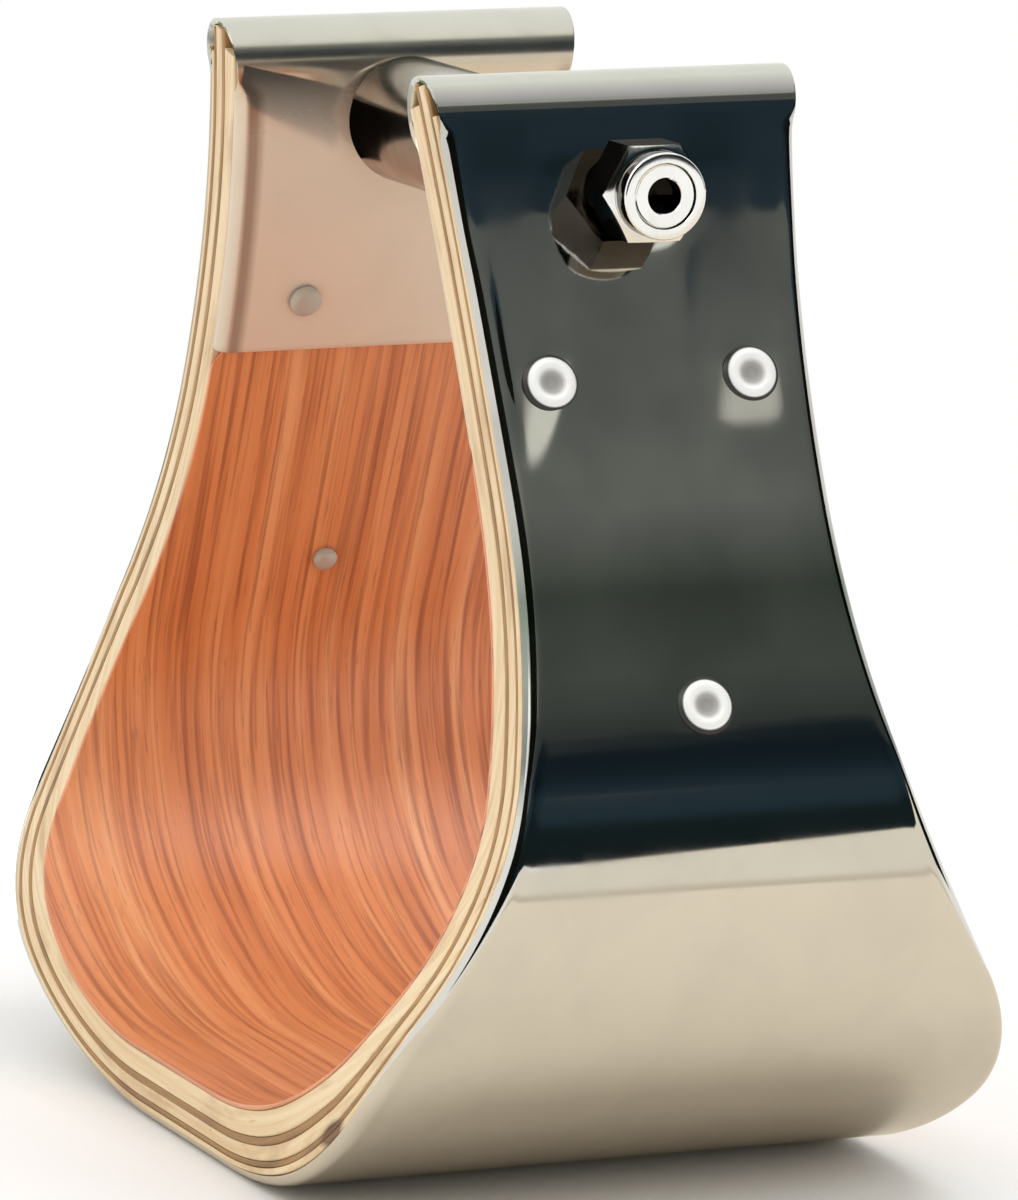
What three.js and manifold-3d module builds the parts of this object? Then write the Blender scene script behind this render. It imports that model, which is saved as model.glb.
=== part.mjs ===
// Bell stirrup: a bent bow of glued wood layers, bound in sheet steel and hung by a roller on a cross bolt.
// Millimetres, +Z up. The tread rests on z = 0, X runs along the bolt, and the boot goes in along Y.
import * as THREE from 'three';
import { mergeVertices } from 'three/addons/utils/BufferGeometryUtils.js';
import Module from 'manifold-3d';

const manifold = await Module();
manifold.setup();

// Bow outline, seen from the front: the steel's outer face from the middle of the tread up one wall
const HEIGHT = 170;
const TREAD_FLAT = 36;
const SHOULDER_RADIUS = 100;
const SHOULDER_TURN = THREE.MathUtils.degToRad(31.5);
const CORNER_RADIUS = 47;
const WALL_LEAN = THREE.MathUtils.degToRad(25.5);
const WALL_STRAIGHT = 44;
const NECK_RADIUS = 327;

// Side outline: front-to-back depth of the bow at named heights, and how fast it changes there
const FOOT_DEPTH = 100;
const FOOT_FLARE = 0.5;
const TREAD_DEPTH = 104;
const TREAD_LEVEL = 15;
const HAUNCH_DEPTH = 90;
const HAUNCH_LEVEL = 38;
const HAUNCH_TAPER = -1.2;
const WAIST_DEPTH = 51;
const WAIST_BELOW_TOP = 60;
const SHIN_DEPTH = 62.8;
const SHIN_LEVEL = 68;
const SHIN_TAPER = -0.58;
const NECK_DEPTH = 58.5;
const NECK_FLARE = 0.26;

// Layers of the wall, from the outside in
const SHEET = 0.9;
const OUTER_PLY = 2.1;
const OUTER_CROSS_PLY = 0.9;
const MIDDLE_PLY = 2.3;
const INNER_CROSS_PLY = 1.2;
const INNER_PLY = 3.9;
const FACE_VENEER = 0.7;
const BOND_LINE = 0.1;

// Edges and end of the sheet: a lip turned over the outer ply, and a liner down the inside of the neck
const BEND_RADIUS = 1.8;
const LIP_RUN_OUT = 4;
const SHEET_EDGE_ROUND = 0.4;
const LINER_END_BELOW_TOP = 56.6;

// Cross bolt, lock nut and roller
const BOLT_DIAMETER = 9.5;
const BOLT_BELOW_TOP = 16.2;
const BOLT_HOLE_CLEARANCE = 0.4;
const BOLT_END_CHAMFER = 1.6;
const BOLT_END_RECESS = 0.2;
const HEAD_ACROSS_FLATS = 14.3;
const HEAD_HEIGHT = 6;
const NUT_ACROSS_FLATS = 14.3;
const NUT_HEX_HEIGHT = 8.4;
const HEX_FACE_SHARE = 0.96;
const HEX_CORNER_SLOPE = 0.58;
const COLLAR_HEIGHT = 3.5;
const COLLAR_DIAMETER = 13;
const COLLAR_WALL = 0.9;
const COLLAR_EDGE = 0.4;
const COLLAR_MOUTH_CLEARANCE = 0.4;
const INSERT_HEIGHT = 2;
const THREAD_CLEARANCE = 0.1;
const ROLLER_DIAMETER = 20;
const ROLLER_BORE_CLEARANCE = 0.35;
const ROLLER_END_CLEARANCE = 0.5;
const ROLLER_EDGE = 0.8;

// Rivets: a domed head with a shallow dimple outside, a small clinched tail inside
const RIVET_HEAD_DIAMETER = 8.8;
const RIVET_HEAD_HEIGHT = 2;
const RIVET_HEAD_RIM = 0.5;
const RIVET_DIMPLE_DIAMETER = 3.2;
const RIVET_DIMPLE_DEPTH = 0.6;
const RIVET_SHANK_DIAMETER = 4;
const RIVET_TAIL_DIAMETER = 5.2;
const RIVET_TAIL_HEIGHT = 1.3;
const RIVET_HOLE_CLEARANCE = 0.3;
const UPPER_RIVETS_BELOW_TOP = 43.5;
const UPPER_RIVET_SPACING_RIGHT = 32;
const UPPER_RIVET_SPACING_LEFT = 28;
const LEFT_ROW_SHIFT = 2;
const LOWER_RIVET_LEVEL = 81;
const LEFT_RIVET_RISE = 2.6;

// Gap left where one piece seats on another
const SEAT_GAP = 0.3;

// Fineness of the facets
const ARC_STEP = THREE.MathUtils.degToRad(7.5);
const LENGTH_STEP = 12;
const BEND_STEPS = 3;
const ROLL_STEPS = 8;
const ROUND_STEPS = 24;
const RIVET_STEPS = 14;
const HOLE_STEPS = 12;
const DOME_STEPS = 3;

const steelMaterial = (name, roughness) =>
  new THREE.MeshStandardMaterial({ name, color: 0xb9b8b2, metalness: 1, roughness });
const woodMaterial = (name, color) =>
  new THREE.MeshStandardMaterial({ name, color, metalness: 0, roughness: 0.55 });

const WOOD_LAYERS = [OUTER_PLY, OUTER_CROSS_PLY, MIDDLE_PLY, INNER_CROSS_PLY, INNER_PLY, FACE_VENEER];
const LAYERS = [SHEET, ...WOOD_LAYERS, SHEET];
const WALL_THICKNESS = LAYERS.reduce((sum, layer) => sum + layer + BOND_LINE, -BOND_LINE);
const BARE_WALL_THICKNESS = WALL_THICKNESS - SHEET - BOND_LINE;
const ROLL_RADIUS = WALL_THICKNESS / 2;
const LIP = Math.min(BEND_RADIUS, OUTER_PLY);
const WALL_HEADING = Math.PI / 2 + WALL_LEAN;

// Bow path: straight and curved runs followed one after the other, by arc length
function leftNormal(heading) {
  return new THREE.Vector2(-Math.sin(heading), Math.cos(heading));
}

function followRun(start, run, distance) {
  if (run.turn === 0) {
    const along = new THREE.Vector2(Math.cos(start.heading), Math.sin(start.heading));
    return { point: along.multiplyScalar(distance).add(start.point), heading: start.heading };
  }
  const radius = run.length / run.turn;
  const heading = start.heading + distance / radius;
  const centre = leftNormal(start.heading).multiplyScalar(radius).add(start.point);
  return { point: centre.sub(leftNormal(heading).multiplyScalar(radius)), heading };
}

function bowRuns() {
  const cornerTurn = WALL_HEADING - SHOULDER_TURN;
  const runs = [
    { length: TREAD_FLAT / 2, turn: 0 },
    { length: SHOULDER_RADIUS * SHOULDER_TURN, turn: SHOULDER_TURN },
    { length: CORNER_RADIUS * cornerTurn, turn: cornerTurn },
    { length: WALL_STRAIGHT, turn: 0 },
  ];
  let place = { point: new THREE.Vector2(0, 0), heading: 0 };
  for (const run of runs) {
    run.start = place;
    place = followRun(place, run, run.length);
  }
  // The neck curves back until the roll over its end just reaches the full height
  const rise = HEIGHT - ROLL_RADIUS - place.point.y + NECK_RADIUS * Math.cos(WALL_HEADING);
  const neckTurn = WALL_HEADING - Math.acos(rise / (NECK_RADIUS + ROLL_RADIUS));
  runs.push({ length: NECK_RADIUS * neckTurn, turn: -neckTurn, start: place });
  return runs;
}

const RUNS = bowRuns();
const BOW_LENGTH = RUNS.reduce((sum, run) => sum + run.length, 0);

function bowAt(distance) {
  let rest = distance;
  for (const run of RUNS.slice(0, -1)) {
    if (rest <= run.length) return followRun(run.start, run, rest);
    rest -= run.length;
  }
  const last = RUNS[RUNS.length - 1];
  return followRun(last.start, last, rest);
}

function inwardPoint(distance, inward) {
  const place = bowAt(distance);
  return leftNormal(place.heading).multiplyScalar(inward).add(place.point);
}

function distanceAtLevel(level, inward) {
  let low = 0;
  let high = BOW_LENGTH;
  for (let pass = 0; pass < 50; pass += 1) {
    const middle = (low + high) / 2;
    if (inwardPoint(middle, inward).y < level) low = middle;
    else high = middle;
  }
  return low;
}

// Distance from the middle of the stirrup to a face of the wall, at a height
function faceAtLevel(level, inward) {
  return inwardPoint(distanceAtLevel(level, inward), inward).x;
}

function bowStops() {
  const stops = [0];
  let start = 0;
  for (const run of RUNS) {
    const steps = Math.ceil(Math.max(Math.abs(run.turn) / ARC_STEP, run.length / LENGTH_STEP, 1));
    for (let k = 1; k <= steps; k += 1) stops.push(start + (run.length * k) / steps);
    start += run.length;
  }
  return stops;
}

// Side outline: half the depth of the bow at a height, a smooth curve through the named sizes
const SIDE_OUTLINE = [
  { level: 0, depth: FOOT_DEPTH, slope: FOOT_FLARE },
  { level: TREAD_LEVEL, depth: TREAD_DEPTH, slope: 0 },
  { level: HAUNCH_LEVEL, depth: HAUNCH_DEPTH, slope: HAUNCH_TAPER },
  { level: SHIN_LEVEL, depth: SHIN_DEPTH, slope: SHIN_TAPER },
  { level: HEIGHT - WAIST_BELOW_TOP, depth: WAIST_DEPTH, slope: 0 },
  { level: HEIGHT, depth: NECK_DEPTH, slope: NECK_FLARE },
];

function halfDepth(level) {
  const z = THREE.MathUtils.clamp(level, 0, HEIGHT);
  const upper = Math.max(1, SIDE_OUTLINE.findIndex((stop) => stop.level >= z));
  const a = SIDE_OUTLINE[upper - 1];
  const b = SIDE_OUTLINE[upper];
  const span = b.level - a.level;
  const t = (z - a.level) / span;
  const rise = t * t * (3 - 2 * t);
  const bendA = t * (1 - t) * (1 - t) * span * a.slope;
  const bendB = t * t * (t - 1) * span * b.slope;
  return (a.depth + (b.depth - a.depth) * rise + bendA + bendB) / 2;
}

// A cross-section lists its points as depth inward from the outer face and inset from the sawn edge
function bothEdges(points) {
  const front = points.map(([inward, inset]) => ({ inward, inset, side: -1 }));
  const back = points.map(([inward, inset]) => ({ inward, inset, side: 1 }));
  return [...front.reverse(), ...back];
}

function ringAt({ place, section }) {
  return section.map(({ inward, inset, side }) => {
    const spot = leftNormal(place.heading).multiplyScalar(inward).add(place.point);
    return new THREE.Vector3(spot.x, side * (halfDepth(spot.y) - inset), spot.y);
  });
}

function endCap(section) {
  const flat = section.map(({ inward, inset, side }) =>
    new THREE.Vector2(inward, side * (halfDepth(HEIGHT) - inset)));
  return THREE.ShapeUtils.triangulateShape(flat, []);
}

// Solid swept along the bow, from the end of one wall round the tread to the end of the other
function sweepBow(stations) {
  const half = stations.map(ringAt);
  const mirrored = half.slice(1).map((ring) => ring.map(({ x, y, z }) => new THREE.Vector3(-x, y, z)));
  const rings = [...mirrored.reverse(), ...half];
  const count = rings[0].length;
  const faces = [];
  for (let ring = 0; ring + 1 < rings.length; ring += 1) {
    for (let k = 0; k < count; k += 1) {
      const a = ring * count + k;
      const b = ring * count + ((k + 1) % count);
      faces.push(a, b, b + count, a, b + count, a + count);
    }
  }
  const last = (rings.length - 1) * count;
  for (const [a, b, c] of endCap(stations[stations.length - 1].section)) {
    faces.push(a, b, c, last + a, last + c, last + b);
  }
  const geometry = new THREE.BufferGeometry();
  geometry.setFromPoints(rings.flat());
  geometry.setIndex(faces);
  return geometry;
}

function asSolid(geometry, matrix = new THREE.Matrix4()) {
  const bare = geometry.clone().applyMatrix4(matrix);
  bare.deleteAttribute('normal');
  bare.deleteAttribute('uv');
  const merged = mergeVertices(bare, 1e-5);
  return new manifold.Manifold(new manifold.Mesh({
    numProp: 3,
    vertProperties: new Float32Array(merged.attributes.position.array),
    triVerts: new Uint32Array(merged.index.array),
  }));
}

function asGeometry(solid) {
  const mesh = solid.getMesh();
  const geometry = new THREE.BufferGeometry();
  geometry.setAttribute('position', new THREE.BufferAttribute(new Float32Array(mesh.vertProperties), 3));
  geometry.setIndex(new THREE.BufferAttribute(new Uint32Array(mesh.triVerts), 1));
  geometry.computeVertexNormals();
  return geometry;
}

// Places along the bow where something passes through the wall
function wallSeat(level, across, side) {
  const place = bowAt(distanceAtLevel(level, 0));
  const outward = leftNormal(place.heading).negate();
  return {
    point: new THREE.Vector3(side * place.point.x, across, place.point.y),
    outward: new THREE.Vector3(side * outward.x, 0, outward.y),
  };
}

const BOLT_LEVEL = HEIGHT - BOLT_BELOW_TOP;
const UPPER_RIVET_LEVEL = HEIGHT - UPPER_RIVETS_BELOW_TOP;
const LEFT_UPPER_LEVEL = UPPER_RIVET_LEVEL + LEFT_RIVET_RISE;
const LINER_END_LEVEL = HEIGHT - LINER_END_BELOW_TOP;
const RIVET_SEATS = {
  rivet_right_upper_front: wallSeat(UPPER_RIVET_LEVEL, -UPPER_RIVET_SPACING_RIGHT / 2, 1),
  rivet_right_upper_back: wallSeat(UPPER_RIVET_LEVEL, UPPER_RIVET_SPACING_RIGHT / 2, 1),
  rivet_right_lower: wallSeat(LOWER_RIVET_LEVEL, 0, 1),
  rivet_left_upper_front: wallSeat(LEFT_UPPER_LEVEL, LEFT_ROW_SHIFT - UPPER_RIVET_SPACING_LEFT / 2, -1),
  rivet_left_upper_back: wallSeat(LEFT_UPPER_LEVEL, LEFT_ROW_SHIFT + UPPER_RIVET_SPACING_LEFT / 2, -1),
  rivet_left_lower: wallSeat(LOWER_RIVET_LEVEL + LEFT_RIVET_RISE, 0, -1),
};

// Turns a shape made along +Z so that +Z points along a direction
function facing(direction) {
  return new THREE.Quaternion().setFromUnitVectors(new THREE.Vector3(0, 0, 1), direction);
}

function drill(radius, length, centre, direction) {
  const rod = new THREE.CylinderGeometry(radius, radius, length, HOLE_STEPS);
  rod.rotateX(Math.PI / 2);
  return asSolid(rod, new THREE.Matrix4().compose(centre, facing(direction), new THREE.Vector3(1, 1, 1)));
}

// Every layer of the bow gets the same holes: one for the bolt and three for rivets in each wall
const HOLES = [
  drill(BOLT_DIAMETER / 2 + BOLT_HOLE_CLEARANCE, 4 * BOW_LENGTH, new THREE.Vector3(0, 0, BOLT_LEVEL),
    new THREE.Vector3(1, 0, 0)),
  ...Object.values(RIVET_SEATS).map((seat) =>
    drill(RIVET_SHANK_DIAMETER / 2 + RIVET_HOLE_CLEARANCE, 4 * WALL_THICKNESS, seat.point, seat.outward)),
];

function drilled(geometry) {
  return asGeometry(HOLES.reduce((solid, hole) => solid.subtract(hole), asSolid(geometry)));
}

// Wood layers, each a bent strip whose ends reach up under the roll as far as its thickness lets it
function endRise(from, thickness) {
  const reach = Math.max(Math.abs(ROLL_RADIUS - from), Math.abs(ROLL_RADIUS - from - thickness));
  const room = ROLL_RADIUS - SHEET - SEAT_GAP;
  return Math.sqrt(Math.max(0, room * room - reach * reach));
}

function plyGeometry(from, thickness, edge) {
  const section = bothEdges(edge);
  const stations = bowStops().map((distance) => ({ place: bowAt(distance), section }));
  const rise = endRise(from, thickness);
  if (rise > 0) stations.push({ place: bowAt(BOW_LENGTH + rise), section });
  return drilled(sweepBow(stations));
}

// The outer ply is rebated along both edges to take the sheet's lips
function rebatedEdge(from) {
  const under = SHEET + SEAT_GAP;
  const behind = LIP + SEAT_GAP;
  return [[from, LIP], [LIP, under], [behind, under], [behind, 0], [from + OUTER_PLY, 0]];
}

function woodLayers() {
  const layers = [
    ['outer_ply', OUTER_PLY, 0xe6cc9c],
    ['outer_cross_ply', OUTER_CROSS_PLY, 0x8d6f44],
    ['middle_ply', MIDDLE_PLY, 0xead2a4],
    ['inner_cross_ply', INNER_CROSS_PLY, 0x7d5f3a],
    ['inner_ply', INNER_PLY, 0xf0d8b0],
    ['face_veneer', FACE_VENEER, 0xc9763f],
  ];
  let from = SHEET + BOND_LINE;
  return layers.map(([name, thickness, color], index) => {
    const square = [[from, 0], [from + thickness, 0]];
    const edge = index === 0 ? rebatedEdge(from) : square;
    const mesh = named(name, plyGeometry(from, thickness, edge), woodMaterial(name, color));
    from += thickness + BOND_LINE;
    return mesh;
  });
}

// Steel cover: one sheet round the outside, rolled over both wall ends and down inside as a liner.
// Its long edges turn over the outer ply as a low lip, which runs out just below the rolls.
function quarterBend(centre, radius) {
  const points = [];
  for (let k = 0; k <= BEND_STEPS; k += 1) {
    const angle = (Math.PI / 2) * (k / BEND_STEPS);
    points.push([centre - radius * Math.cos(angle), centre - radius * Math.sin(angle)]);
  }
  return points;
}

function lippedEdge() {
  return [...quarterBend(LIP, LIP), ...quarterBend(LIP, LIP - SHEET).reverse()];
}

function plainEdge() {
  const underside = [];
  for (let k = 0; k <= BEND_STEPS; k += 1) underside.push([SHEET, k * SHEET]);
  return [...quarterBend(SHEET_EDGE_ROUND, SHEET_EDGE_ROUND), ...underside];
}

function steelCover() {
  const lipped = bothEdges(lippedEdge());
  const plain = bothEdges(plainEdge());
  const lipEnd = BOW_LENGTH - LIP_RUN_OUT;
  const stations = bowStops()
    .filter((distance) => distance < lipEnd)
    .map((distance) => ({ place: bowAt(distance), section: lipped }));
  stations.push({ place: bowAt(lipEnd), section: lipped });

  const end = bowAt(BOW_LENGTH);
  const centre = leftNormal(end.heading).multiplyScalar(ROLL_RADIUS).add(end.point);
  for (let k = 0; k <= ROLL_STEPS; k += 1) {
    const heading = end.heading + (Math.PI * k) / ROLL_STEPS;
    const point = leftNormal(heading).multiplyScalar(-ROLL_RADIUS).add(centre);
    stations.push({ place: { point, heading }, section: plain });
  }

  const linerLength = BOW_LENGTH - distanceAtLevel(LINER_END_LEVEL, WALL_THICKNESS);
  const steps = Math.ceil(linerLength / LENGTH_STEP);
  for (let k = 1; k <= steps; k += 1) {
    const distance = BOW_LENGTH - (linerLength * k) / steps;
    const heading = bowAt(distance).heading + Math.PI;
    stations.push({ place: { point: inwardPoint(distance, WALL_THICKNESS), heading }, section: plain });
  }
  return named('steel_cover', drilled(sweepBow(stations)), steelMaterial('polished sheet steel', 0.12));
}

// Rivets
function rivetProfile(grip) {
  const headRadius = RIVET_HEAD_DIAMETER / 2;
  const dimpleRadius = RIVET_DIMPLE_DIAMETER / 2;
  const dome = [];
  for (let k = 0; k <= DOME_STEPS; k += 1) {
    const angle = (Math.PI / 2) * (k / DOME_STEPS);
    const radius = dimpleRadius + (headRadius - dimpleRadius) * Math.sin(angle);
    const rise = RIVET_HEAD_RIM + (RIVET_HEAD_HEIGHT - RIVET_HEAD_RIM) * Math.cos(angle);
    dome.push([radius, rise]);
  }
  const shank = RIVET_SHANK_DIAMETER / 2;
  const tail = RIVET_TAIL_DIAMETER / 2;
  return closedProfile([
    [0, -grip - RIVET_TAIL_HEIGHT],
    [tail / 2, -grip - RIVET_TAIL_HEIGHT],
    [tail, -grip - RIVET_TAIL_HEIGHT / 2],
    [tail, -grip],
    [shank, -grip],
    [shank, 0],
    [headRadius, 0],
    ...dome.reverse(),
    [dimpleRadius / 2, RIVET_HEAD_HEIGHT - RIVET_DIMPLE_DEPTH],
    [0, RIVET_HEAD_HEIGHT - RIVET_DIMPLE_DEPTH],
  ]);
}

function closedProfile(points) {
  return points.map(([radius, height]) => new THREE.Vector2(radius, height));
}

function turned(profile, steps) {
  const geometry = new THREE.LatheGeometry(profile, steps);
  geometry.rotateX(Math.PI / 2);
  return geometry;
}

function rivets() {
  const material = steelMaterial('rivet steel', 0.3);
  return Object.entries(RIVET_SEATS).map(([name, seat]) => {
    const lined = seat.point.z > LINER_END_LEVEL;
    const grip = (lined ? WALL_THICKNESS : BARE_WALL_THICKNESS) + 2 * SEAT_GAP;
    const mesh = named(name, turned(rivetProfile(grip), RIVET_STEPS), material);
    mesh.quaternion.copy(facing(seat.outward));
    mesh.position.copy(seat.point).addScaledVector(seat.outward, SEAT_GAP);
    return mesh;
  });
}

// Hexagon standing on z = 0 with the corners of its upper face rounded off
function hexBlock(acrossFlats, height) {
  const corner = acrossFlats / Math.sqrt(3);
  const prism = new THREE.CylinderGeometry(corner, corner, height, 6);
  prism.rotateX(Math.PI / 2).translate(0, 0, height / 2);
  const faceRadius = (acrossFlats / 2) * HEX_FACE_SHARE;
  const clear = 2 * corner;
  const rounding = closedProfile([
    [0, -clear],
    [clear, -clear],
    [clear, height - (clear - faceRadius) * HEX_CORNER_SLOPE],
    [faceRadius, height],
    [0, height],
  ]);
  return asSolid(prism).intersect(asSolid(turned(rounding, ROUND_STEPS)));
}

// Cross bolt and what is on it, laid out along the bolt from the middle of the stirrup.
// The nut and the head rest against the leaning walls at their lowest edge and corner.
const SHANK_RADIUS = BOLT_DIAMETER / 2;
const NUT_HEIGHT = NUT_HEX_HEIGHT + COLLAR_HEIGHT;
const NUT_START = faceAtLevel(BOLT_LEVEL - NUT_ACROSS_FLATS / 2, 0) + SEAT_GAP;
const HEAD_START = faceAtLevel(BOLT_LEVEL - HEAD_ACROSS_FLATS / Math.sqrt(3), 0) + SEAT_GAP;

function crossBolt() {
  const length = HEAD_START + NUT_START + NUT_HEIGHT - BOLT_END_RECESS;
  const shank = asSolid(turned(closedProfile([
    [0, 0],
    [SHANK_RADIUS, 0],
    [SHANK_RADIUS, length - BOLT_END_CHAMFER],
    [SHANK_RADIUS - BOLT_END_CHAMFER, length],
    [0, length],
  ]), ROUND_STEPS));
  const head = hexBlock(HEAD_ACROSS_FLATS, HEAD_HEIGHT).mirror([0, 0, 1]);
  const mesh = named('cross_bolt', asGeometry(shank.add(head)), steelMaterial('bolt steel', 0.3));
  mesh.position.z = -HEAD_START;
  return mesh;
}

function lockNut() {
  const bore = SHANK_RADIUS + THREAD_CLEARANCE;
  const mouth = bore + COLLAR_MOUTH_CLEARANCE;
  const collar = COLLAR_DIAMETER / 2;
  const pocket = collar - COLLAR_WALL;
  const pocketEnd = NUT_HEIGHT - COLLAR_WALL;
  const insertStart = pocketEnd - SEAT_GAP - INSERT_HEIGHT;
  const pocketStart = insertStart - SEAT_GAP;
  const overrun = NUT_HEIGHT / 2;
  const outside = asSolid(turned(closedProfile([
    [0, NUT_HEX_HEIGHT / 2],
    [collar, NUT_HEX_HEIGHT / 2],
    [collar, NUT_HEIGHT - COLLAR_WALL],
    [collar - COLLAR_EDGE, NUT_HEIGHT - COLLAR_EDGE],
    [collar - COLLAR_WALL, NUT_HEIGHT],
    [0, NUT_HEIGHT],
  ]), ROUND_STEPS));
  const hollow = asSolid(turned(closedProfile([
    [0, -overrun],
    [bore, -overrun],
    [bore, pocketStart],
    [pocket, pocketStart],
    [pocket, pocketEnd],
    [mouth, pocketEnd],
    [mouth, NUT_HEIGHT + overrun],
    [0, NUT_HEIGHT + overrun],
  ]), ROUND_STEPS));
  const body = hexBlock(NUT_ACROSS_FLATS, NUT_HEX_HEIGHT).add(outside).subtract(hollow);
  const nut = named('lock_nut', asGeometry(body), steelMaterial('nut steel', 0.3));
  nut.position.z = NUT_START;

  const insertProfile = closedProfile([
    [bore, 0],
    [pocket - SEAT_GAP, 0],
    [pocket - SEAT_GAP, INSERT_HEIGHT],
    [bore, INSERT_HEIGHT],
    [bore, 0],
  ]);
  const nylon = new THREE.MeshStandardMaterial({ name: 'nylon', color: 0xe9e4d6, roughness: 0.5 });
  const insert = named('lock_nut_insert', turned(insertProfile, ROUND_STEPS), nylon);
  insert.position.z = NUT_START + insertStart;
  return [nut, insert];
}

function strapRoller() {
  const half = faceAtLevel(BOLT_LEVEL + ROLLER_DIAMETER / 2, WALL_THICKNESS) - ROLLER_END_CLEARANCE;
  const bore = SHANK_RADIUS + ROLLER_BORE_CLEARANCE;
  const outer = ROLLER_DIAMETER / 2;
  const profile = closedProfile([
    [bore, -half],
    [outer - ROLLER_EDGE, -half],
    [outer, -half + ROLLER_EDGE],
    [outer, half - ROLLER_EDGE],
    [outer - ROLLER_EDGE, half],
    [bore, half],
    [bore, -half],
  ]);
  return named('strap_roller', turned(profile, ROUND_STEPS), steelMaterial('roller steel', 0.25));
}

function named(name, geometry, material) {
  const mesh = new THREE.Mesh(geometry, material);
  mesh.name = name;
  return mesh;
}

// Assembly
const stirrup = new THREE.Group();
stirrup.add(steelCover(), ...woodLayers(), ...rivets());

const boltLine = new THREE.Group();
boltLine.add(crossBolt(), ...lockNut(), strapRoller());
boltLine.quaternion.copy(facing(new THREE.Vector3(1, 0, 0)));
boltLine.position.z = BOLT_LEVEL;
stirrup.add(boltLine);

export default stirrup;
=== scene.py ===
import math

import bmesh
import bpy
from mathutils import Matrix, Vector, noise


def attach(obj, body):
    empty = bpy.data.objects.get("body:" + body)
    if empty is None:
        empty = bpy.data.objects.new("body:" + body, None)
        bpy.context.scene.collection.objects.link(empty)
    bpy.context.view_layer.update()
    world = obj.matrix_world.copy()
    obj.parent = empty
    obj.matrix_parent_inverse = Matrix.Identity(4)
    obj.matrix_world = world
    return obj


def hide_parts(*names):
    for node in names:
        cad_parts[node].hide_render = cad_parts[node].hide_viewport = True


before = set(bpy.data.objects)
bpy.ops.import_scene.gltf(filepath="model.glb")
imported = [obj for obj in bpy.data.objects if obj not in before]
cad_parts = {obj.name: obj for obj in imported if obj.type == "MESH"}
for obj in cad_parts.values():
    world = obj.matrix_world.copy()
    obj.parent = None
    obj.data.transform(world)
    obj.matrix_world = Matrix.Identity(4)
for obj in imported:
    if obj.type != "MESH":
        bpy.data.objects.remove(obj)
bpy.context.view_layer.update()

# Bell stirrup: a bow of bent wood layers bound in polished sheet steel, with a roller on a cross bolt.
# Pieces are shaped in millimetres. Those of the bow are straight strips first, and are then bent.
MM = 0.001

# Bow outline, seen from the front: the steel's outer face from the middle of the tread up one wall
HEIGHT = 170.0
TREAD_FLAT = 36.0
SHOULDER_RADIUS = 100.0
SHOULDER_TURN = math.radians(31.5)
CORNER_RADIUS = 47.0
WALL_LEAN = math.radians(25.5)
WALL_STRAIGHT = 44.0
NECK_RADIUS = 327.0

# Side outline: level, front-to-back depth and its slope there, and how far the pieces stay inside it
SIDE_OUTLINE = (
    (0.0, 100.0, 0.5),
    (15.0, 104.0, 0.0),
    (38.0, 90.0, -1.2),
    (68.0, 62.8, -0.58),
    (110.0, 51.0, 0.0),
    (170.0, 58.5, 0.26),
)
OUTLINE_TRIM = 0.01

# Layers of the wall, from the outside in
SHEET = 0.9
BOND_LINE = 0.1
PLIES = (
    ("outer_ply", 2.1, "pale_ply"),
    ("outer_cross_ply", 0.9, "dark_cross_ply"),
    ("middle_ply", 2.3, "pale_ply"),
    ("inner_cross_ply", 1.2, "dark_cross_ply"),
    ("inner_ply", 3.9, "pale_ply"),
    ("face_veneer", 0.7, "red_veneer"),
)
WOOD = sum(thickness + BOND_LINE for _, thickness, _ in PLIES) - BOND_LINE
BARE_WALL = SHEET + BOND_LINE + WOOD
LINED_WALL = BARE_WALL + BOND_LINE + SHEET
ROLL_RADIUS = LINED_WALL / 2
SEAT_GAP = 0.3

# Edges and end of the sheet, the plies' eased corners, and how far the sheet stays inside its outline
BEND_RADIUS = 1.8
BEND_REACH = 2.6
EDGE_ROUND = 0.45
LIP_RUN_OUT = 4.0
LINER_END_LEVEL = HEIGHT - 56.6
DEBURR = 0.12
EASED_EDGE = 0.18
SHEET_TRIM = 0.05

# Brown void in the outer ply, in the strip's units of 100 mm: its place along and across, its half
# width, and its half width over its half length
VOID_PLACE = (0.73, -0.487)
VOID_RADIUS = 0.018
VOID_SQUEEZE = 0.32
VOID_COLOR = (0.13, 0.05, 0.012)

# Fasteners and roller
BOLT_LEVEL = HEIGHT - 16.2
BOLT_RADIUS = 4.75
BOLT_END_RECESS = 0.2
PLAIN_SHANK = 30.0
THREAD_PITCH = 25.4 / 16
THREAD_DEPTH = 0.55
THREAD_CLEARANCE = 0.1
HEX_ACROSS_FLATS = 14.3
HEX_CORNER = HEX_ACROSS_FLATS / math.sqrt(3)
HEX_FACE = 0.96 * HEX_ACROSS_FLATS / 2
NUT_HEX_HEIGHT = 8.4
COLLAR_HEIGHT = 3.5
COLLAR_RADIUS = 6.5
COLLAR_WALL = 0.9
COLLAR_EDGE = 0.4
INSERT_HEIGHT = 2.0
CENTRE_HOLE_RADIUS = 2.6
HEAD_HEIGHT = 6.0
ROLLER_RADIUS = 10.0
ROLLER_EDGE = 0.8
ROLLER_END_CLEARANCE = 0.5
ROLLER_BORE_CLEARANCE = 0.35
RIVET_SHANK_RADIUS = 1.8
RIVET_TAIL_HEIGHT = 1.3
RIVET_TAIL_RADII = {"upper": 2.6, "lower": 2.0}
RIVET_LEVELS = {"upper": HEIGHT - 43.5, "lower": 81.0}
RIVET_RISE = {"right": 0.0, "left": 2.6}
UPPER_RIVETS_ACROSS = {"right": (-16.0, 16.0), "left": (-12.0, 16.0)}

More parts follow.
